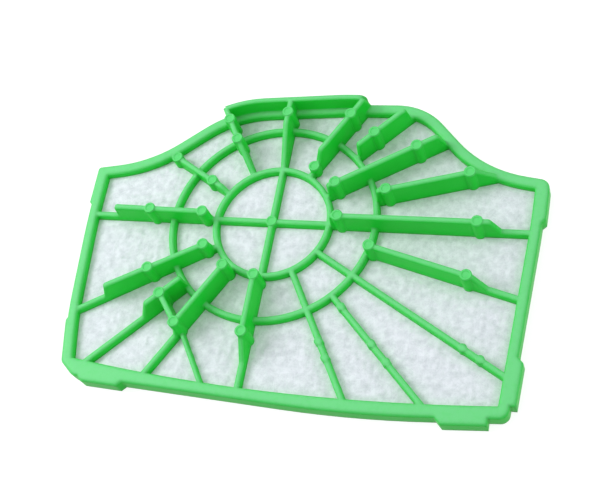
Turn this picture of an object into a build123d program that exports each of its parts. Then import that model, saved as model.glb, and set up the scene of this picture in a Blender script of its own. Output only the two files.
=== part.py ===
from build123d import *
import os
from collections import namedtuple
from math import cos, radians, sin

# A vacuum cleaner's exhaust filter: one moulded frame on a sheet of filter fleece.
# Plan sizes are taken from the hub, the common centre of the two rings, with
# x to the right, y towards the arch and z up from the face that the border rests on.
# All sizes are in millimetres and all angles in degrees.

# Border: its width along the sides and along the top
border_width = 3.0
border_top_width = 3.4
border_height = 5.0
border_edge_break = 0.5
skirt_wall = 1.6

# Window's lower edge, an arc of its own: where its lowest point is, how far that is above the
# border's lower right corner, and its radius
window_base_x = 26.0
window_base_rise = 1.35
window_base_radius = 600.0

# Outline of the border: straight sides between corners, each corner with its own radius.
# An inset is taken inwards from the left or the right side, and a rise or a drop from the lower
# right corner.
left_side_x = -61.7
right_side_x = 80.05
side_bend_radius = 240.0
left_bend_inset = 0.3
left_bend_y = -2.0
left_knee_inset = 2.7
left_knee_y = -34.0
left_knee_radius = 120.0
right_bend_y = 4.1
shoulder_left_y = 16.75
shoulder_right_y = 17.15
shoulder_left_radius = 1.0
shoulder_right_radius = 3.0
valley_left_x = -44.6
valley_left_y = 19.6
valley_left_radius = 42.0
valley_right_x = 61.95
valley_right_y = 19.95
valley_right_radius = 36.0
crest_left_x = -20.1
crest_left_y = 39.4
crest_left_radius = 36.0
crest_right_x = 41.3
crest_right_radius = 20.0
plateau_x = 16.4
plateau_y = 41.7
plateau_radius = 60.0
cut_side_inset = 5.65
cut_width = 3.9
cut_height = 3.4
cut_base_rise = 1.2
cut_radius = 2.5
base_bend_x = 34.7
base_bend_drop = 3.05
base_bend_radius = 360.0
base_right_inset = 3.45
base_right_y = -54.85
base_right_radius = 2.6

# Filter fleece, let into the underside of the border
fleece_thickness = 2.1
fleece_recess = 0.3
fleece_clearance = 0.1

# Rings and low ribs, which lie on the fleece
inner_ring_radius = 17.9
outer_ring_radius = 32.0
rib_drop = 0.15
rib_foot = 2.1
rib_crest = 1.5
rib_edge_break = 0.3
long_rib_step = 30
short_rib_angles = (15, 45, 225, 315, 345)

# Tall fins, which stand on the ribs
fin_rise = 5.5
fin_thickness = 1.6
fin_edge_break = 0.3
fin_corner_round = 1.0
low_fin_rise = 1.6
right_fin_rise = 4.9

# Ejector bosses, which the mould's pins push on, along the fins and the low ribs
boss_radius = 1.75
rib_boss_radius = 1.25
boss_proud = 0.12

# Wall along the top of the arch, from one fin to another
arch_wall = 1.6
arch_wall_left_angle = 120
arch_wall_right_angle = 60
arch_wall_end_round = 2.4

# Brace that ties two fins together, and the low rib that goes on from it to the border
brace_fin_angle = 225
brace_fin_radius = 39.5
brace_far_angle = 240
brace_far_radius = 42.4
brace_rib_foot = 1.7
brace_rib_crest = 1.1
brace_rib_heading = 301.5

# Locating lugs on the outside of the border; a slant of 1 bevels an end at 45 degrees
upper_lug_left_proud = 0.75
upper_lug_right_proud = 1.05
lower_lug_left_proud = 0.65
lower_lug_right_proud = 1.6
base_lug_left_proud = 1.4
base_lug_right_proud = 2.0
lug_slant = 1.0
upper_lug_foot_y = 3.5
lower_lug_left_head_y = -36.3
lower_lug_right_head_y = -36.4
lower_lug_right_foot_y = -51.3
base_lug_left_start_x = -50.4
base_lug_left_end_x = -34.85
base_lug_right_start_x = 55.7
base_lug_right_end_x = 71.4

# Each fin: its angle, where its crest starts and ends, how far its foot runs on past
# the crest at the start and the end, how much lower the crest is at its start, and
# where its bosses are, all from the hub. A fin that ends past the arch is cut off there.
Fin = namedtuple("Fin", "angle rise start start_run start_fall end end_run bosses")
past_arch = 2 * plateau_y
fins = (
    Fin(0, fin_rise, 19.4, 0.8, 0.0, 66.4, 2.8, (21.8, 62.8)),
    Fin(15, fin_rise, 33.4, 1.0, 0.0, 62.6, 6.0, (36.2, 61.0)),
    Fin(30, fin_rise, 19.6, 0.8, 0.0, 55.2, 2.0, (22.2, 48.6)),
    Fin(45, fin_rise, 34.0, 1.0, 0.0, 52.0, 0.8, (40.4,)),
    Fin(60, low_fin_rise, 20.6, 0.8, 0.0, 26.0, 1.0, (21.2,)),
    Fin(60, fin_rise, 25.4, 3.6, 0.0, 46.4, 2.0, (40.3,)),
    Fin(90, fin_rise, 31.0, 12.0, 0.0, past_arch, 0.0, (35.2,)),
    Fin(120, fin_rise, 28.0, 9.4, 0.0, past_arch, 0.0, (29.2, 37.3)),
    Fin(150, low_fin_rise, 21.0, 2.6, 0.0, 41.0, 1.0, (24.8, 40.4)),
    Fin(180, fin_rise, 19.8, 1.0, 0.8, 50.0, 0.8, (21.0, 38.1)),
    Fin(210, fin_rise, 20.0, 0.8, 1.5, 53.6, 2.0, (21.4, 39.4)),
    Fin(225, fin_rise, 31.8, 0.4, 0.0, 44.8, 3.0, (brace_fin_radius,)),
    Fin(240, fin_rise, 19.8, 0.6, 0.0, brace_far_radius, 2.4, (20.4, brace_far_radius)),
    Fin(270, fin_rise, 19.6, 0.6, 0.0, 38.6, 7.0, (20.2, 38.0)),
    Fin(345, right_fin_rise, 34.4, 0.6, 0.0, 65.6, 4.0, (33.8, 63.8)),
)
rib_bosses = {330: (72.0, 78.0), 315: (37.1, 52.0, 59.2), 300: (43.0, 48.5)}

# Corners that are set from others
cut_side_x = left_side_x + cut_side_inset
window_base_y = base_right_y + window_base_rise
cut_base_y = base_right_y + cut_base_rise
cut_side_y = cut_base_y + cut_height
cut_base_x = cut_side_x + cut_width
base_right_x = right_side_x - base_right_inset

# Levels
fleece_top = fleece_recess + fleece_thickness
rib_top = border_height - rib_drop


def polar(radius, angle):
    """The plan point at a radius and an angle from the hub."""
    return Vector(radius * cos(radians(angle)), radius * sin(radians(angle)))


def slab(face, low, high):
    """A plan face made solid between two levels."""
    return extrude(Pos(0, 0, low) * face, high - low)


def broken_above(solid, level, size):
    """A solid with every edge that lies above a level broken by a small chamfer."""
    edges = solid.edges().filter_by(lambda edge: edge.center().Z > level)
    return chamfer(edges, size)


def make_outline():
    """The outer outline of the border, anticlockwise from the left shoulder."""
    corners = (
        (left_side_x, shoulder_left_y, shoulder_left_radius),
        (left_side_x + left_bend_inset, left_bend_y, side_bend_radius),
        (left_side_x + left_knee_inset, left_knee_y, left_knee_radius),
        (cut_side_x, cut_side_y, cut_radius),
        (cut_base_x, cut_base_y, cut_radius),
        (base_bend_x, base_right_y - base_bend_drop, base_bend_radius),
        (base_right_x, base_right_y, base_right_radius),
        (right_side_x, right_bend_y, side_bend_radius),
        (right_side_x, shoulder_right_y, shoulder_right_radius),
        (valley_right_x, valley_right_y, valley_right_radius),
        (crest_right_x, plateau_y, crest_right_radius),
        (plateau_x, plateau_y, plateau_radius),
        (crest_left_x, crest_left_y, crest_left_radius),
        (valley_left_x, valley_left_y, valley_left_radius),
    )
    points = [(x, y) for x, y, _ in corners]
    radii = [radius for _, _, radius in corners]
    return make_face(FilletPolyline(*points, radius=radii, close=True).edges())


def make_window(outline):
    """The open middle of the border: the outline moved in, more so at the top, over a curved base."""
    inside = offset(outline, -border_width, kind=Kind.INTERSECTION)
    lowered = Pos(0, border_width - border_top_width) * inside
    base = Pos(window_base_x, window_base_y + window_base_radius) * Circle(window_base_radius)
    return inside & lowered & base


outline = make_outline()
window = make_window(outline)
trim = slab(offset(outline, -arch_wall / 2, kind=Kind.INTERSECTION), 0, border_height + 2 * fin_rise)


def make_lug(shift, start, end, reach, start_slant=0.0, end_slant=0.0):
    """A lug in plan: the outline moved outwards, kept between two points in anticlockwise order.

    The strip that is kept reaches equally far to both sides of the line between the points.
    """
    along = (end - start).normalized()
    outward = Vector(along.Y, -along.X)
    start_line = (outward + along * start_slant) * reach
    end_line = (outward - along * end_slant) * reach
    strip = make_face(Polyline(
        start - start_line,
        start + start_line,
        end + end_line,
        end - end_line,
        close=True,
    ).edges())
    return Pos(shift) * outline & strip


def make_upper_lugs():
    """The lugs at the shoulders, flush with the top of the border."""
    shoulder_left = Vector(left_side_x, shoulder_left_y)
    shoulder_right = Vector(right_side_x, shoulder_right_y)
    along_left = (shoulder_left - Vector(valley_left_x, valley_left_y)).normalized()
    along_right = (shoulder_right - Vector(valley_right_x, valley_right_y)).normalized()
    past_shoulder = Vector(0, border_width)
    return [
        make_lug(
            along_left * upper_lug_left_proud,
            shoulder_left + past_shoulder,
            Vector(left_side_x, upper_lug_foot_y),
            shoulder_left_radius,
            end_slant=lug_slant,
        ),
        make_lug(
            along_right * upper_lug_right_proud,
            Vector(right_side_x, upper_lug_foot_y),
            shoulder_right + past_shoulder,
            shoulder_right_radius,
            start_slant=lug_slant,
        ),
    ]


def make_lower_lugs():
    """The lugs low on the sides; the left one is flush with the cut corner."""
    reach = 1.5 * border_width
    cut_side = Vector(cut_side_x, cut_side_y)
    cut_base = Vector(cut_base_x, cut_base_y)
    along_cut = (cut_side - cut_base) * (lower_lug_left_proud / cut_width)
    return [
        make_lug(
            along_cut,
            Vector(left_side_x + left_knee_inset, lower_lug_left_head_y),
            (cut_side + cut_base) / 2,
            reach,
            start_slant=lug_slant,
        ),
        make_lug(
            Vector(lower_lug_right_proud, 0),
            Vector(base_right_x, lower_lug_right_foot_y),
            Vector(base_right_x, lower_lug_right_head_y),
            reach,
            end_slant=lug_slant,
        ),
    ]


def make_base_lugs():
    """The lugs along the base."""
    reach = 1.5 * border_width
    return [
        make_lug(
            Vector(0, -base_lug_left_proud),
            Vector(base_lug_left_start_x, cut_base_y),
            Vector(base_lug_left_end_x, cut_base_y),
            reach,
            start_slant=lug_slant,
            end_slant=lug_slant,
        ),
        make_lug(
            Vector(0, -base_lug_right_proud),
            Vector(base_lug_right_start_x, base_right_y),
            Vector(base_lug_right_end_x, base_right_y),
            reach,
            start_slant=lug_slant,
        ),
    ]


def make_border():
    """The border with its lugs: a lip over the fleece's edge, and a skirt that goes round it."""
    lugs = make_upper_lugs() + make_lower_lugs() + make_base_lugs()
    border = slab(outline + lugs - window, 0, border_height)
    border = chamfer(border.edges().group_by(Axis.Z)[-1], border_edge_break)
    rebate = slab(offset(outline, -skirt_wall, kind=Kind.INTERSECTION), -border_height, fleece_top)
    return border - rebate


def rib_section(foot, crest):
    """A rib's section: sloping sides, and a crest with broken edges."""
    section = make_face(Polyline(
        (-foot / 2, fleece_top),
        (foot / 2, fleece_top),
        (crest / 2, rib_top),
        (-crest / 2, rib_top),
        close=True,
    ).edges())
    return chamfer(section.vertices().group_by(Axis.Y)[-1], rib_edge_break)


def make_rib(start, end, foot=rib_foot, crest=rib_crest):
    """A straight low rib between two plan points."""
    run = Vector(end) - Vector(start)
    across = Vector(-run.Y, run.X, 0)
    plane = Plane(origin=start, x_dir=across, z_dir=run)
    return extrude(plane * rib_section(foot, crest), run.length)


def make_ring(radius):
    """A low ring about the hub."""
    section = Plane.XZ * Pos(radius, 0) * rib_section(rib_foot, rib_crest)
    return revolve(section, Axis.Z)


def make_ribs():
    """The hub's cross, the long ribs from the inner ring and the short ones from the outer."""
    reach = right_side_x - left_side_x
    cross = [make_rib(polar(inner_ring_radius, a), polar(inner_ring_radius, a + 180)) for a in (0, 90)]
    long_ribs = [
        make_rib(polar(inner_ring_radius, angle), polar(reach, angle)) & trim
        for angle in range(0, 360, long_rib_step)
    ]
    short_ribs = [
        make_rib(polar(outer_ring_radius, angle), polar(reach, angle)) & trim
        for angle in short_rib_angles
    ]
    return cross + long_ribs + short_ribs


def make_wall(start, end, rise, start_run=0.0, start_fall=0.0, end_run=0.0):
    """A tall wall between two plan points, whose ends slope out to the level of the ribs."""
    run = Vector(end) - Vector(start)
    plane = Plane(origin=start, x_dir=run, z_dir=run.cross(Vector(0, 0, 1)))
    crest = border_height + rise
    side = make_face(Polyline(
        (-start_run, fleece_top),
        (run.length + end_run, fleece_top),
        (run.length + end_run, rib_top),
        (run.length, crest),
        (0, crest - start_fall),
        (-start_run, rib_top),
        close=True,
    ).edges())
    crest_corners = side.vertices().filter_by(lambda corner: corner.Y > border_height)
    side = fillet(crest_corners, fin_corner_round)
    wall = extrude(plane * side, fin_thickness / 2, both=True)
    return broken_above(wall, rib_top, fin_edge_break)


def make_fin(fin):
    """A fin along its own rib, cut off inside the arch where it runs into it."""
    start = polar(fin.start, fin.angle)
    end = polar(fin.end, fin.angle)
    return make_wall(start, end, fin.rise, fin.start_run, fin.start_fall, fin.end_run) & trim


def crest_level(fin, radius):
    """The level of a fin's crest at a radius, allowing for its fall towards the hub."""
    fall = fin.start_fall * (fin.end - radius) / (fin.end - fin.start)
    return border_height + fin.rise - fall


def make_boss(centre, radius, level):
    """A round boss from the fleece to just above the level of the fin or rib that it stands in."""
    return slab(Pos(centre) * Circle(radius), fleece_top, level + boss_proud)


def make_bosses():
    """The bosses on the fins, on the low ribs and at the hub."""
    on_fins = [
        make_boss(polar(radius, fin.angle), boss_radius, crest_level(fin, radius))
        for fin in fins
        for radius in fin.bosses
    ]
    on_ribs = [
        make_boss(polar(radius, angle), rib_boss_radius, rib_top)
        for angle, radii in rib_bosses.items()
        for radius in radii
    ]
    return on_fins + on_ribs + [make_boss(Vector(0, 0), boss_radius, rib_top)]


def make_arch_wall():
    """The wall along the arch: the outer part of the border carried up to the fins' crest."""
    band = outline - offset(outline, -arch_wall, kind=Kind.INTERSECTION)
    left = polar(past_arch, arch_wall_left_angle)
    right = polar(past_arch, arch_wall_right_angle)
    sector = make_face(Polyline((0, 0), right, left, close=True).edges())
    wall = slab(band & sector, border_height - border_edge_break, border_height + fin_rise)
    end_edge = wall.edges().group_by(Axis.Z)[-1].sort_by(Axis.X)[-1]
    wall = fillet(end_edge, arch_wall_end_round)
    return broken_above(wall, border_height + fin_rise - fin_edge_break, fin_edge_break)


def make_brace():
    """The brace: a tall wall from one fin to the next, then a low rib to the border."""
    start = polar(brace_fin_radius, brace_fin_angle)
    meet = polar(brace_far_radius, brace_far_angle)
    past_border = meet + polar(right_side_x - left_side_x, brace_rib_heading)
    rib = make_rib(meet, past_border, brace_rib_foot, brace_rib_crest) & trim
    return [make_wall(start, meet, fin_rise), rib]


def make_frame():
    """The whole moulding, fused into one solid."""
    pieces = [make_ring(radius) for radius in (inner_ring_radius, outer_ring_radius)]
    pieces += make_ribs()
    pieces += [make_fin(fin) for fin in fins]
    pieces += make_bosses()
    pieces += make_brace()
    pieces += [make_arch_wall()]
    return make_border().fuse(*pieces)


def make_fleece():
    """The fleece: a flat sheet that fills the rebate inside the skirt."""
    sheet = offset(outline, -(skirt_wall + fleece_clearance), kind=Kind.INTERSECTION)
    return slab(sheet, fleece_recess, fleece_top)


# The part's origin is the middle of its footprint, on the face that it rests on
frame = make_frame()
footprint = frame.bounding_box()
to_origin = Pos(-footprint.center().X, -footprint.center().Y, -footprint.min.Z)
pieces = {"frame": to_origin * frame, "filter_fleece": to_origin * make_fleece()}

os.makedirs("parts", exist_ok=True)
for name, piece in pieces.items():
    export_step(piece, f"parts/{name}.step")
print("hub at", (to_origin * Pos(0, 0, 0)).position)
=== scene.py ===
"""Looks of a vacuum cleaner's exhaust filter: a green moulded frame over a sheet of white filter fleece.

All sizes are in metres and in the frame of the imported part: x along the straight base, y towards the
arch and z up from the face that the border rests on. HUB is the middle of the two rings in plan.
"""
import logging
import math
from dataclasses import dataclass, field
from enum import Enum
from typing import Any, Sequence

import bmesh
import bpy
import numpy as np
from mathutils import Matrix, Vector

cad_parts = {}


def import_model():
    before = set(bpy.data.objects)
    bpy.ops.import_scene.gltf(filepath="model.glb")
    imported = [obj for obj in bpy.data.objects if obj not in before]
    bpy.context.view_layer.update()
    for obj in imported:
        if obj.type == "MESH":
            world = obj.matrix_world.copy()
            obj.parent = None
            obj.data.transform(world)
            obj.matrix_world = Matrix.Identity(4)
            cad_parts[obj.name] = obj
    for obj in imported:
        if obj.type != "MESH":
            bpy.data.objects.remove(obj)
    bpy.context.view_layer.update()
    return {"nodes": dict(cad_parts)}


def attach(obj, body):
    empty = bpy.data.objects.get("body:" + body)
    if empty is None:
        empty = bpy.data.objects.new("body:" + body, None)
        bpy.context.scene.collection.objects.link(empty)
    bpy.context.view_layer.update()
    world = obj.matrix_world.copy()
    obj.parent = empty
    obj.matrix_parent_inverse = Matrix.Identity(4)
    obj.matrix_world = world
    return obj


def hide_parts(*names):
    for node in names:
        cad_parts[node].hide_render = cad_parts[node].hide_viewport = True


MM = 0.001
BODY = "root"
HUB = (-9.331 * MM, 8.216 * MM)
WELD_DISTANCE = 0.0001 * MM
NOISE_MEAN = 0.5
LOG = logging.getLogger("exhaust_filter")

Colour = tuple[float, float, float, float]


class Slot(Enum):
    """The record's material slots."""

    PLASTIC = "frame_plastic"
    FLEECE = "filter_fleece"


class Value:
    """A number that varies over a surface: an output socket with Python's arithmetic."""

    def __init__(self, nodes: "Nodes", socket: bpy.types.NodeSocket) -> None:
        """Keeps the socket and the nodes that it belongs to."""
        self.nodes = nodes
        self.socket = socket

    def _math(self, operation: str, first: "Value | float", second: "Value | float") -> "Value":
        """Adds one Math node.

        Args:
            operation: the Math node's operation.
            first: its first operand.
            second: its second operand.

        Returns:
            The node's result.
        """
        return self.nodes.value("ShaderNodeMath", {"operation": operation}, {0: first, 1: second})

    def __add__(self, other: "Value | float") -> "Value":
        """self + other"""
        return self._math("ADD", self, other)

    def __radd__(self, other: float) -> "Value":
        """other + self"""
        return self._math("ADD", other, self)

    def __sub__(self, other: "Value | float") -> "Value":
        """self - other"""
        return self._math("SUBTRACT", self, other)

    def __rsub__(self, other: float) -> "Value":
        """other - self"""
        return self._math("SUBTRACT", other, self)

    def __mul__(self, other: "Value | float") -> "Value":
        """self * other"""
        return self._math("MULTIPLY", self, other)

    def __rmul__(self, other: float) -> "Value":
        """other * self"""
        return self._math("MULTIPLY", other, self)

    def larger(self, other: "Value | float") -> "Value":
        """The larger of self and other."""
        return self._math("MAXIMUM", self, other)

    def clipped(self) -> "Value":
        """Self held between 0 and 1."""
        return self._math("MINIMUM", self._math("MAXIMUM", self, 0.0), 1.0)


class Nodes:
    """A node tree, with a single method that adds any node."""

    def __init__(self, tree: bpy.types.NodeTree) -> None:
        """Empties the tree."""
        self.tree = tree
        self.tree.nodes.clear()

    def node(self, kind: str, settings: dict[str, Any] | None = None,
             inputs: dict[str | int, Any] | None = None) -> bpy.types.Node:
        """Adds a node.

        Args:
            kind: the node's type.
            settings: its own settings, which are set first; "stops" holds the pairs of position and colour
                of a ramp.
            inputs: a number, a colour, a Value or a socket for each input, by name or place.

        Returns:
            The node.
        """
        node = self.tree.nodes.new(kind)
        for name, setting in (settings or {}).items():
            if name == "stops":
                self._set_stops(node.color_ramp, setting)
            else:
                setattr(node, name, setting)
        for key, content in (inputs or {}).items():
            self._fill(node.inputs[key], content)
        return node

    def value(self, kind: str, settings: dict[str, Any] | None = None,
              inputs: dict[str | int, Any] | None = None, output: str | int = 0) -> Value:
        """Adds a node, as the method node does, and returns one of its outputs as a Value."""
        return Value(self, self.node(kind, settings, inputs).outputs[output])

    def mix(self, share: Value, first: Any, second: Any) -> bpy.types.NodeSocket:
        """Mixes two colours.

        Args:
            share: how much of the second there is, from 0 to 1.
            first: a colour or a colour socket.
            second: a colour or a colour socket.

        Returns:
            The mixed colour's socket.
        """
        colour_inputs = {0: share, 6: first, 7: second}
        return self.node("ShaderNodeMix", {"data_type": "RGBA"}, colour_inputs).outputs[2]

    def noise(self, coordinates: bpy.types.NodeSocket, size: float, detail: float = 2.0,
              roughness: float = 0.5) -> Value:
        """Soft random patches.

        Args:
            coordinates: where the pattern is read.
            size: about how wide a patch is, in metres.
            detail: how many finer layers there are.
            roughness: how strong the finer layers are.

        Returns:
            A value about 0.5.
        """
        inputs = {"Vector": coordinates, "Scale": 1 / size, "Detail": detail, "Roughness": roughness}
        return self.value("ShaderNodeTexNoise", {"noise_dimensions": "3D"}, inputs)

    def place(self) -> bpy.types.NodeSocket:
        """The object's own coordinates, in metres."""
        return self.node("ShaderNodeTexCoord").outputs["Object"]

    def turned(self, coordinates: bpy.types.NodeSocket, angle: float,
               scale: Sequence[float]) -> bpy.types.NodeSocket:
        """Coordinates in which a pattern comes out turned about z and stretched.

        Args:
            coordinates: the coordinates to start from.
            angle: the pattern's turn in degrees.
            scale: how much the pattern is stretched along each of its axes.

        Returns:
            The new coordinates.
        """
        inputs = {"Vector": coordinates, "Rotation": (0.0, 0.0, math.radians(angle)), "Scale": tuple(scale)}
        return self.node("ShaderNodeMapping", {"vector_type": "TEXTURE"}, inputs).outputs[0]

    def rounded_normal(self, radius: float, samples: int) -> bpy.types.NodeSocket:
        """The surface's direction, as if its corners were rounded to a radius."""
        return self.node("ShaderNodeBevel", {"samples": samples}, {"Radius": radius}).outputs[0]

    def seen(self) -> Value:
        """Tells the rays that show a background from those that light the object.

        Returns:
            1 for a ray from the camera, off a glossy surface or through a clear one, otherwise 0.
        """
        rays = self.node("ShaderNodeLightPath")
        straight = Value(self, rays.outputs["Is Camera Ray"])
        mirrored = Value(self, rays.outputs["Is Glossy Ray"])
        return straight.larger(mirrored).larger(Value(self, rays.outputs["Is Transmission Ray"]))

    def _fill(self, socket: bpy.types.NodeSocket, content: Any) -> None:
        """Links or sets one input.

        Args:
            socket: the input.
            content: a Value or a socket to link, or a number or a colour to set.
        """
        if isinstance(content, Value):
            content = content.socket
        if isinstance(content, bpy.types.NodeSocket):
            self.tree.links.new(content, socket)
        else:
            socket.default_value = content

    @staticmethod
    def _set_stops(ramp: bpy.types.ColorRamp, stops: Sequence[tuple[float, Colour]]) -> None:
        """Gives a ramp its stops; a new ramp has two already.

        Args:
            ramp: the ramp.
            stops: the position and the colour of each stop.
        """
        while len(ramp.elements) < len(stops):
            ramp.elements.new(1.0)
        for element, (position, colour) in zip(ramp.elements, stops):
            element.position = position
            element.color = colour


class Paint(Nodes):
    """The nodes of one material."""

    def __init__(self, name: str) -> None:
        """Makes an empty material.

        Args:
            name: the material's name.
        """
        self.material = bpy.data.materials.new(name)
        self.material.use_nodes = True
        super().__init__(self.material.node_tree)

    def finish(self, shader: bpy.types.Node) -> bpy.types.Material:
        """Puts a shader on the surface and returns the material."""
        self.node("ShaderNodeOutputMaterial", None, {"Surface": shader.outputs[0]})
        return self.material


@dataclass(frozen=True)
class MouldedPlastic:
    """Green polypropylene: half gloss, a little see-through, with a painted sheen on its upward faces and a
    painted highlight along its edges.
    """

    name: str = "moulded_green"
    deep: Colour = (0.006, 0.600, 0.030, 1.0)
    bright: Colour = (0.020, 0.690, 0.058, 1.0)
    # Painted sheen: the paler colour painted onto the faces that turn up.
    painted_sheen: Colour = (0.165, 0.690, 0.250, 1.0)
    # Painted highlight: the pale colour painted along the edges.
    edge: Colour = (0.270, 0.810, 0.350, 1.0)
    patch_size: float = 14 * MM
    patch_detail: float = 3.0
    # Size, detail and strength of the random patches that break up the painted sheen.
    sheen_patch_size: float = 1.6 * MM
    sheen_patch_detail: float = 4.0
    sheen_patch_change: float = 0.5
    grain_size: float = 0.35 * MM
    grain_height: float = 0.003 * MM
    corner_round: float = 1.8 * MM
    corner_samples: int = 8
    edge_round: float = 0.25 * MM
    edge_samples: int = 4
    # How fast and how far the painted edge highlight comes in.
    edge_gain: float = 4.0
    edge_share: float = 0.30
    roughness: float = 0.38
    roughness_change: float = 0.14
    specular: float = 0.14
    glow: float = 0.20
    glow_reach: float = 1.2 * MM
    glow_spread: tuple[float, float, float] = (0.3, 1.0, 0.3)

    def material(self) -> bpy.types.Material:
        """Builds the plastic.

        Its colour runs from the body's patches to a paler painted sheen as the rounded surface turns up, and
        to a pale painted highlight where a slightly rounded normal leaves the true one.

        Returns:
            The finished material.
        """
        paint = Paint(self.name)
        place = paint.place()
        patches = paint.noise(place, self.patch_size, self.patch_detail)
        sheen_patches = paint.noise(place, self.sheen_patch_size, self.sheen_patch_detail)
        grain = paint.noise(place, self.grain_size)
        rounded = paint.rounded_normal(self.corner_round, self.corner_samples)
        crisp = paint.rounded_normal(self.edge_round, self.edge_samples)
        straight = paint.node("ShaderNodeNewGeometry").outputs["Normal"]
        along = paint.value("ShaderNodeVectorMath", {"operation": "DOT_PRODUCT"},
                            {0: crisp, 1: straight}, output="Value")
        # Painted highlight: a pale colour along the edges, where the slightly rounded normal leaves the true one.
        edge_highlight = ((1.0 - along) * self.edge_gain).clipped() * self.edge_share
        upward = paint.value("ShaderNodeSeparateXYZ", None, {"Vector": rounded}, output="Z").clipped()
        faces_up = upward * upward
        # Painted sheen: the paler colour on faces that turn up, broken up by random patches.
        painted_sheen = (faces_up * (1.0 + (sheen_patches - NOISE_MEAN) * self.sheen_patch_change)).clipped()
        body = paint.mix(patches, self.deep, self.bright)
        body_and_sheen = paint.mix(painted_sheen, body, self.painted_sheen)
        bump_inputs = {"Height": grain, "Distance": self.grain_height, "Normal": rounded}
        shader = paint.node("ShaderNodeBsdfPrincipled", {"subsurface_method": "RANDOM_WALK"}, {
            "Base Color": paint.mix(edge_highlight, body_and_sheen, self.edge),
            "Roughness": self.roughness + (patches - NOISE_MEAN) * self.roughness_change,
            "Normal": paint.node("ShaderNodeBump", None, bump_inputs).outputs[0],
            "Subsurface Weight": self.glow,
            "Subsurface Radius": self.glow_spread,
            "Subsurface Scale": self.glow_reach,
            "Specular IOR Level": self.specular,
        })
        return paint.finish(shader)


@dataclass(frozen=True)
class NonWoven:
    """White filter fleece: fine fibres that lie in every direction, in thicker and thinner tufts."""

    name: str = "white_fleece"
    # Painted shade: the blue grey of the fleece's thin, low hollows, on top of its uneven tone.
    hollow: Colour = (0.555, 0.605, 0.645, 1.0)
    white: Colour = (0.815, 0.855, 0.915, 1.0)
    hollow_at: float = 0.34
    white_at: float = 0.66
    tuft_size: float = 2.2 * MM
    tuft_detail: float = 5.0
    tuft_roughness: float = 0.62
    tuft_share: float = 0.65
    fibre_width: float = 0.16 * MM
    fibre_length: float = 3.0 * MM
    fibre_detail: float = 1.0
    fibre_angles: tuple[float, ...] = (12.0, 57.0, 101.0, 148.0)
    fibre_height: float = 0.10 * MM
    fibre_share: float = 0.5
    thinning: float = 0.08
    roughness: float = 0.95
    roughness_change: float = 0.1
    specular: float = 0.2
    sheen: float = 0.15

    def material(self) -> bpy.types.Material:
        """Builds the fleece.

        Its thickness is a share of the tufts plus a share of the fibres on top. It sets both the colour, from a
        blue grey with painted shade in the hollows to white, and the bumps.

        Returns:
            The finished material.
        """
        paint = Paint(self.name)
        place = paint.place()
        tufts = paint.noise(place, self.tuft_size, self.tuft_detail, self.tuft_roughness)
        fibres = self._layer(paint, place, self.fibre_angles[0])
        for angle in self.fibre_angles[1:]:
            fibres = fibres.larger(self._layer(paint, place, angle))
        thickness = (tufts * self.tuft_share + fibres * self.fibre_share - self.thinning).clipped()
        # Colour runs from the painted shade in the hollows to white where the fleece is thick.
        stops = [(self.hollow_at, self.hollow), (self.white_at, self.white)]
        colour = paint.node("ShaderNodeValToRGB", {"stops": stops}, {"Fac": thickness}).outputs[0]
        bump_inputs = {"Height": thickness, "Distance": self.fibre_height}
        shader = paint.node("ShaderNodeBsdfPrincipled", None, {
            "Base Color": colour,
            "Roughness": self.roughness - thickness * self.roughness_change,
            "Normal": paint.node("ShaderNodeBump", None, bump_inputs).outputs[0],
            "Sheen Weight": self.sheen,
            "Specular IOR Level": self.specular,
        })
        return paint.finish(shader)

    def _layer(self, paint: Paint, place: bpy.types.NodeSocket, angle: float) -> Value:
        """Fibres that lie about one direction.

        Args:
            paint: the paint that gets the nodes.
            place: the coordinates that the pattern is read in.
            angle: the direction in degrees.

        Returns:
            A value that is high on a fibre.
        """
        along = self.fibre_length / self.fibre_width
        stretched = paint.turned(place, angle, (along, 1.0, 1.0))
        return paint.noise(stretched, self.fibre_width, self.fibre_detail)


@dataclass(frozen=True)
class SoftBox:
    """A square lamp with a soft edge to its shadows."""

    name: str
    azimuth: float
    elevation: float
    distance: float
    size: float
    power: float

    def light(self) -> None:
        """Adds the lamp, aimed at the origin."""
        lamp = bpy.data.lights.new(self.name, "AREA")
        lamp.shape = "SQUARE"
        lamp.size = self.size
        lamp.energy = self.power
        flat = math.cos(math.radians(self.elevation))
        direction = Vector((
            flat * math.cos(math.radians(self.azimuth)),
            flat * math.sin(math.radians(self.azimuth)),
            math.sin(math.radians(self.elevation)),
        ))
        holder = bpy.data.objects.new(self.name, lamp)
        holder.location = direction * self.distance
        holder.rotation_euler = direction.to_track_quat("Z", "Y").to_euler()
        bpy.context.scene.collection.objects.link(holder)


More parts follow.
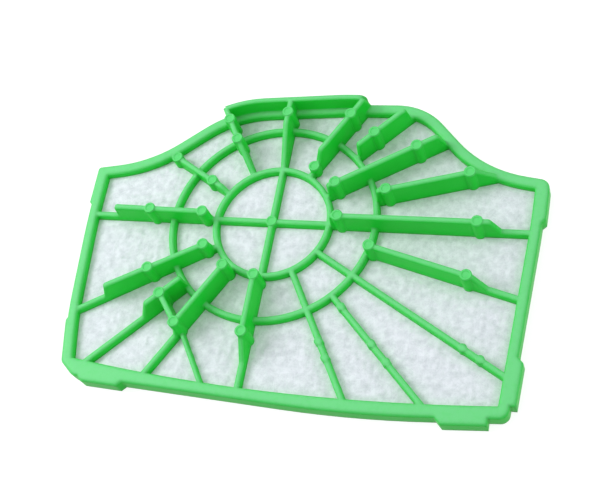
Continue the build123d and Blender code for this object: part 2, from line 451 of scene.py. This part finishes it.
@dataclass
class Studio:
    """The floor, the light and the camera."""

    floor_size: float = 6.0
    floor_colour: Colour = (0.32, 0.32, 0.32, 1.0)
    floor_glow: float = 0.82
    sky_colour: Colour = (1.0, 1.0, 1.0, 1.0)
    sky_strength: float = 0.68
    boxes: tuple[SoftBox, ...] = (
        SoftBox("left_box", azimuth=176.0, elevation=42.0, distance=0.60, size=0.30, power=1.75),
        SoftBox("back_box", azimuth=130.0, elevation=62.0, distance=0.60, size=0.45, power=0.35),
        SoftBox("right_box", azimuth=0.0, elevation=15.0, distance=0.60, size=0.35, power=0.70),
    )
    camera_place: tuple[float, float, float] = (0.11154, -0.14450, 0.30856)
    camera_aim: tuple[float, float, float] = (-0.00092, 0.00466, 0.0)
    camera_roll: float = -30.02
    lens: float = 72.0
    sensor: float = 36.0
    nearest: float = 0.01

    def build(self) -> None:
        """Adds everything that is not part of the object."""
        self._add_floor()
        self._add_sky()
        self._add_camera()
        for box in self.boxes:
            box.light()
        bpy.context.scene.view_settings.view_transform = "Standard"

    def _add_floor(self) -> None:
        """A flat pale floor that keeps the object's shadow and looks white where it is lit."""
        half = self.floor_size / 2
        corners = [(-half, -half, 0.0), (half, -half, 0.0), (half, half, 0.0), (-half, half, 0.0)]
        mesh = bpy.data.meshes.new("floor")
        mesh.from_pydata(corners, [], [range(len(corners))])
        floor = bpy.data.objects.new("floor", mesh)
        bpy.context.scene.collection.objects.link(floor)
        paint = Paint("pale_floor")
        lit = paint.node("ShaderNodeBsdfDiffuse", None, {"Color": self.floor_colour})
        glow = paint.node("ShaderNodeEmission", None, {"Strength": paint.seen() * self.floor_glow})
        both = paint.node("ShaderNodeAddShader", None, {0: lit.outputs[0], 1: glow.outputs[0]})
        mesh.materials.append(paint.finish(both))

    def _add_sky(self) -> None:
        """An even sky that lights the object softly and is white where it is seen."""
        world = bpy.data.worlds.new("studio")
        world.use_nodes = True
        nodes = Nodes(world.node_tree)
        strength = self.sky_strength + nodes.seen() * (1.0 - self.sky_strength)
        sky = nodes.node("ShaderNodeBackground", None, {"Color": self.sky_colour, "Strength": strength})
        nodes.node("ShaderNodeOutputWorld", None, {"Surface": sky.outputs[0]})
        bpy.context.scene.world = world

    def _add_camera(self) -> None:
        """The camera: it looks from its place to its aim and is turned about that line."""
        camera = bpy.data.cameras.new("camera")
        camera.lens = self.lens
        camera.sensor_width = self.sensor
        camera.clip_start = self.nearest
        holder = bpy.data.objects.new("camera", camera)
        forward = Vector(self.camera_aim) - Vector(self.camera_place)
        level = forward.to_track_quat("-Z", "Y").to_matrix()
        turn = Matrix.Rotation(math.radians(self.camera_roll), 3, "Z")
        holder.matrix_world = Matrix.Translation(self.camera_place) @ (level @ turn).to_4x4()
        bpy.context.scene.collection.objects.link(holder)
        bpy.context.scene.camera = holder


def add_piece(name: str, points: np.ndarray, faces: np.ndarray, material: bpy.types.Material) -> bpy.types.Object:
    """Makes a smooth mesh piece that rides on the part's body.

    Args:
        name: the piece's name.
        points: its points, one row each.
        faces: the corners of its faces, one row each.
        material: what it is made of.

    Returns:
        The new object.
    """
    mesh = bpy.data.meshes.new(name)
    mesh.from_pydata(points.tolist(), [], faces.tolist())
    shape = bmesh.new()
    shape.from_mesh(mesh)
    bmesh.ops.remove_doubles(shape, verts=shape.verts, dist=WELD_DISTANCE)
    shape.to_mesh(mesh)
    shape.free()
    mesh.polygons.foreach_set("use_smooth", np.ones(len(mesh.polygons), bool))
    mesh.materials.append(material)
    piece = bpy.data.objects.new(name, mesh)
    bpy.context.scene.collection.objects.link(piece)
    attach(piece, BODY)
    return piece


def grid_faces(rows: int, columns: int, closed: bool = False) -> np.ndarray:
    """The quads of a grid of points that are stored row by row.

    Args:
        rows: how many rows of points there are.
        columns: how many points there are in a row.
        closed: whether the last column joins the first.

    Returns:
        Four corners for each quad, anticlockwise where rows run up and columns run right.
    """
    row = np.arange(rows - 1)[:, None]
    column = np.arange(columns if closed else columns - 1)[None, :]
    beside = (column + 1) % columns
    corners = [row * columns + column, row * columns + beside, (row + 1) * columns + beside,
               (row + 1) * columns + column]
    return np.stack(np.broadcast_arrays(*corners), axis=-1).reshape(-1, 4)


@dataclass
class MouldedFrame:
    """The one-piece frame, and the marks that the mould's ejector pins left on its bosses.

    The bosses are given for the angle of each rib in degrees, as their distances from the hub in
    millimetres.
    """

    bosses: dict[int, tuple[float, ...]] = field(default_factory=lambda: {
        0: (0.0, 21.8, 62.8), 15: (36.2, 61.0), 30: (22.2, 48.6), 45: (40.4,), 60: (21.2, 40.3),
        90: (35.2,), 120: (29.2, 37.3), 150: (24.8, 40.4), 180: (21.0, 38.1), 210: (21.4, 39.4),
        225: (39.5,), 240: (20.4, 42.4), 270: (20.2, 38.0), 345: (33.8, 63.8),
    })
    mark_radius: float = 1.68 * MM
    mark_share: float = 0.60
    wall_share: float = 0.12
    mark_height: float = 0.18 * MM
    mark_floor: float = 0.01 * MM
    mark_sunk: float = 1.0 * MM
    rim_share: float = 0.12
    mark_sides: int = 36
    mark_steps: int = 6
    finish: MouldedPlastic = MouldedPlastic()
    # The pin marks get a weaker painted sheen and a tighter rounding of their shading.
    mark_finish: MouldedPlastic = MouldedPlastic(
        name="pin_marked_green", painted_sheen=(0.120, 0.680, 0.195, 1.0), corner_round=0.25 * MM)

    def build(self, node: bpy.types.Object) -> list[bpy.types.Object]:
        """Dresses the frame's solid and adds the pin marks.

        Args:
            node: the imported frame.

        Returns:
            The frame and the marks.
        """
        material = self.finish.material()
        for slot in node.material_slots:
            slot.material = material
        points, faces = self._marks(self._tops(node))
        marks = add_piece("pin_marks", points, faces, self.mark_finish.material())
        return [node, marks]

    def _tops(self, node: bpy.types.Object) -> np.ndarray:
        """The middle of each boss's top.

        Args:
            node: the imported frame.

        Returns:
            x, y and z of each, where a line straight down meets the frame.
        """
        polar = np.array([(angle, distance) for angle, row in self.bosses.items() for distance in row])
        turn = np.radians(polar[:, 0])
        away = polar[:, 1, None] * MM
        plan = np.array(HUB) + away * np.stack([np.cos(turn), np.sin(turn)], axis=1)
        above = 2 * max(node.dimensions)
        hits = [node.ray_cast(Vector((x, y, above)), Vector((0.0, 0.0, -1.0)))[1] for x, y in plan]
        return np.array([tuple(hit) for hit in hits])

    def _marks(self, tops: np.ndarray) -> tuple[np.ndarray, np.ndarray]:
        """Round sunk marks: a profile of distance and height, turned about the middle of each boss.

        The point at turn a and step k of the profile is the mark's middle plus r(k) * (cos a, sin a),
        raised by h(k). The profile is flat across the mark, rises over the mark's wall to a narrow rim,
        falls over the rim's round edge and goes down into the boss. Shares are parts of the mark's radius.

        Args:
            tops: the middle of each boss's top.

        Returns:
            The points and the faces.
        """
        wall = np.linspace(0.0, 1.0, self.mark_steps)
        rim = np.linspace(0.0, np.pi / 2, self.mark_steps)
        rise = wall ** 2 * (3 - 2 * wall)
        middle = [0.0, self.mark_share / 2]
        wall_reach = self.mark_share + self.wall_share * wall
        rim_reach = 1.0 - self.rim_share + self.rim_share * np.sin(rim)
        reach = np.concatenate([middle, wall_reach, rim_reach, [1.0, 0.0]])
        upper = self.mark_floor + self.mark_height * np.concatenate([[0.0, 0.0], rise, np.cos(rim)])
        height = np.concatenate([upper, [-self.mark_sunk, -self.mark_sunk]])
        turn = np.linspace(0, 2 * np.pi, self.mark_sides, endpoint=False)
        radius = self.mark_radius * reach[None, :, None]
        x = tops[:, 0, None, None] + radius * np.cos(turn)
        y = tops[:, 1, None, None] + radius * np.sin(turn)
        z = np.broadcast_to(tops[:, 2, None, None] + height[None, :, None], x.shape)
        points = np.stack([x, y, z], axis=-1).reshape(-1, 3)
        one = grid_faces(len(reach), self.mark_sides, closed=True)[:, ::-1]
        steps = np.arange(len(tops))[:, None, None] * (len(reach) * self.mark_sides)
        return points, (one[None] + steps).reshape(-1, 4)


@dataclass
class FleeceSheet:
    """The filter fleece: held under the border and the ribs, and a little fuller between them."""

    columns: int = 261
    rows: int = 181
    lip: float = 1.3 * MM
    rib_half: float = 1.05 * MM
    ring_radii: tuple[float, float] = (17.9 * MM, 32.0 * MM)
    cross_step: int = 90
    long_step: int = 30
    short_angles: tuple[int, ...] = (15, 45, 225, 315, 345)
    loft: float = 0.30 * MM
    loft_run: float = 5.0 * MM
    wave_sizes: tuple[float, float] = (1.6 * MM, 6.0 * MM)
    wave_count: int = 48
    wave_height: float = 0.09 * MM
    under_height: float = 0.05 * MM
    edge_digits: int = 7
    seed: int = 7
    finish: NonWoven = NonWoven()

    def build(self, node: bpy.types.Object) -> list[bpy.types.Object]:
        """Makes the sheet in the place of its solid.

        Args:
            node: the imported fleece.

        Returns:
            The sheet.
        """
        outline, low, high = self._outline(node)
        plan = self._plan(outline)
        points, faces = self._closed(plan, outline, low, high)
        sheet = add_piece("fleece_sheet", points, faces, self.finish.material())
        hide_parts("filter_fleece")
        across = outline.max(axis=0) - outline.min(axis=0)
        beside = np.roll(outline, -1, axis=0)
        area = abs(np.sum(outline[:, 0] * beside[:, 1] - outline[:, 1] * beside[:, 0])) / 2
        return [sheet]

    def _outline(self, node: bpy.types.Object) -> tuple[np.ndarray, float, float]:
        """The cut edge of the fleece's solid.

        Args:
            node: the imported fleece.

        Returns:
            The edge's points, anticlockwise, and the lowest and highest level.
        """
        flat = np.empty(len(node.data.vertices) * 3, np.float32)
        node.data.vertices.foreach_get("co", flat)
        points = flat.reshape(-1, 3).astype(float)
        low, high = points[:, 2].min(), points[:, 2].max()
        edge = np.unique(points[points[:, 2] > (low + high) / 2, :2].round(self.edge_digits), axis=0)
        turn = np.arctan2(edge[:, 1] - HUB[1], edge[:, 0] - HUB[0])
        return edge[np.argsort(turn)], low, high

    def _plan(self, outline: np.ndarray) -> np.ndarray:
        """A grid in plan that fills the outline.

        It is a Coons patch: each point is the blend of the base and the top at its place along them, plus
        the blend of the left and the right side, less the blend of the four corners.

        Args:
            outline: the cut edge, anticlockwise.

        Returns:
            The plan points, as rows by columns by two.
        """
        total, difference = outline.sum(axis=1), outline[:, 0] - outline[:, 1]
        corners = [np.argmin(total), np.argmax(difference), np.argmax(total), np.argmin(difference)]
        base = self._run(outline, corners[0], corners[1], self.columns)
        right = self._run(outline, corners[1], corners[2], self.rows)
        top = self._run(outline, corners[2], corners[3], self.columns)[::-1]
        left = self._run(outline, corners[3], corners[0], self.rows)[::-1]
        s = np.linspace(0, 1, self.columns)[None, :, None]
        t = np.linspace(0, 1, self.rows)[:, None, None]
        lengthwise = (1 - t) * base[None] + t * top[None]
        crosswise = (1 - s) * left[:, None] + s * right[:, None]
        low_edge = (1 - s) * base[0] + s * base[-1]
        high_edge = (1 - s) * top[0] + s * top[-1]
        return lengthwise + crosswise - (1 - t) * low_edge - t * high_edge

    @staticmethod
    def _run(outline: np.ndarray, start: int, end: int, count: int) -> np.ndarray:
        """Evenly spaced points along the outline.

        Args:
            outline: the cut edge, anticlockwise.
            start: the place of the first point in it.
            end: the place of the last point in it.
            count: how many points to give.

        Returns:
            The points, one row each.
        """
        length = (end - start) % len(outline) + 1
        run = np.roll(outline, -start, axis=0)[:length]
        steps = np.hypot(*np.diff(run, axis=0).T)
        gone = np.concatenate([[0.0], np.cumsum(steps)])
        at = np.linspace(0, gone[-1], count)
        return np.stack([np.interp(at, gone, run[:, 0]), np.interp(at, gone, run[:, 1])], axis=1)

    def _clear_of_ribs(self, plan: np.ndarray, outline: np.ndarray) -> np.ndarray:
        """How far each plan point is from the nearest rib, ring or border that holds the fleece down.

        Args:
            plan: the plan points.
            outline: the cut edge.

        Returns:
            The distances, 0 under what holds the fleece.
        """
        offset = plan - np.array(HUB)
        away = np.hypot(offset[..., 0], offset[..., 1])
        gap = np.min([np.abs(away - radius) for radius in self.ring_radii], axis=0)
        starts = {angle: self.ring_radii[1] for angle in self.short_angles}
        starts.update({angle: self.ring_radii[0] for angle in range(0, 360, self.long_step)})
        starts.update({angle: 0.0 for angle in range(0, 360, self.cross_step)})
        for angle, start in starts.items():
            ahead = np.array([math.cos(math.radians(angle)), math.sin(math.radians(angle))])
            along = offset @ ahead
            beside = offset[..., 0] * ahead[1] - offset[..., 1] * ahead[0]
            gap = np.minimum(gap, np.hypot(np.minimum(along - start, 0.0), beside))
        gap = gap - self.rib_half
        following = np.roll(outline, -1, axis=0)
        for first, second in zip(outline, following):
            side = second - first
            share = np.clip((plan - first) @ side / (side @ side), 0.0, 1.0)
            to_edge = plan - first - share[..., None] * side
            gap = np.minimum(gap, np.hypot(to_edge[..., 0], to_edge[..., 1]) - self.lip)
        return np.maximum(gap, 0.0)

    def _waves(self, plan: np.ndarray) -> np.ndarray:
        """An uneven surface: the sum of sine waves with random directions, lengths and phases.

        Args:
            plan: the plan points.

        Returns:
            Heights about 0 with a spread of about 1.
        """
        draw = np.random.default_rng(self.seed)
        turn = draw.uniform(0, 2 * np.pi, self.wave_count)
        length = np.exp(draw.uniform(*np.log(self.wave_sizes), self.wave_count))
        phase = draw.uniform(0, 2 * np.pi, self.wave_count)
        number = 2 * np.pi / length
        waves = np.sin(plan @ (np.stack([np.cos(turn), np.sin(turn)]) * number) + phase)
        return waves.sum(axis=-1) / math.sqrt(self.wave_count / 2)

    def _closed(self, plan: np.ndarray, outline: np.ndarray, low: float,
                high: float) -> tuple[np.ndarray, np.ndarray]:
        """The upper and lower face of the sheet over one plan grid, joined along the edge.

        The upper face stands at the solid's top, raised by the loft and by uneven waves, both of which ease
        off to nothing at whatever holds the fleece. The lower face has the same waves, much shallower.

        Args:
            plan: the plan points.
            outline: the cut edge.
            low: the solid's lowest level.
            high: the solid's highest level.

        Returns:
            The points and the faces.
        """
        ease = np.clip(self._clear_of_ribs(plan, outline) / self.loft_run, 0.0, 1.0)
        ease = ease * (2 - ease)
        waves = self._waves(plan)
        upper = high + ease * np.maximum(self.loft + waves * self.wave_height, 0.0)
        lower = low + np.clip(waves, -1.0, 1.0) * self.under_height
        points = np.concatenate([
            np.concatenate([plan, upper[..., None]], axis=-1).reshape(-1, 3),
            np.concatenate([plan, lower[..., None]], axis=-1).reshape(-1, 3),
        ])
        count = self.rows * self.columns
        over = grid_faces(self.rows, self.columns)
        place = np.arange(count).reshape(self.rows, self.columns)
        loop = np.concatenate([place[0, :-1], place[:-1, -1], place[-1, :0:-1], place[:0:-1, 0]])
        beside = np.roll(loop, -1)
        wall = np.stack([loop + count, beside + count, beside, loop], axis=1)
        return points, np.concatenate([over, over[:, ::-1] + count, wall])


def main() -> None:
    """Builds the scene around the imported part."""
    logging.basicConfig(level=logging.INFO, format="%(name)s: %(message)s")
    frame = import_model()
    pieces = MouldedFrame().build(frame["nodes"]["frame"])
    pieces += FleeceSheet().build(frame["nodes"]["filter_fleece"])
    for piece in pieces:
        LOG.info("%s: %d points, %d faces", piece.name, len(piece.data.vertices), len(piece.data.polygons))
    Studio().build()


if __name__ == "__main__":
    main()
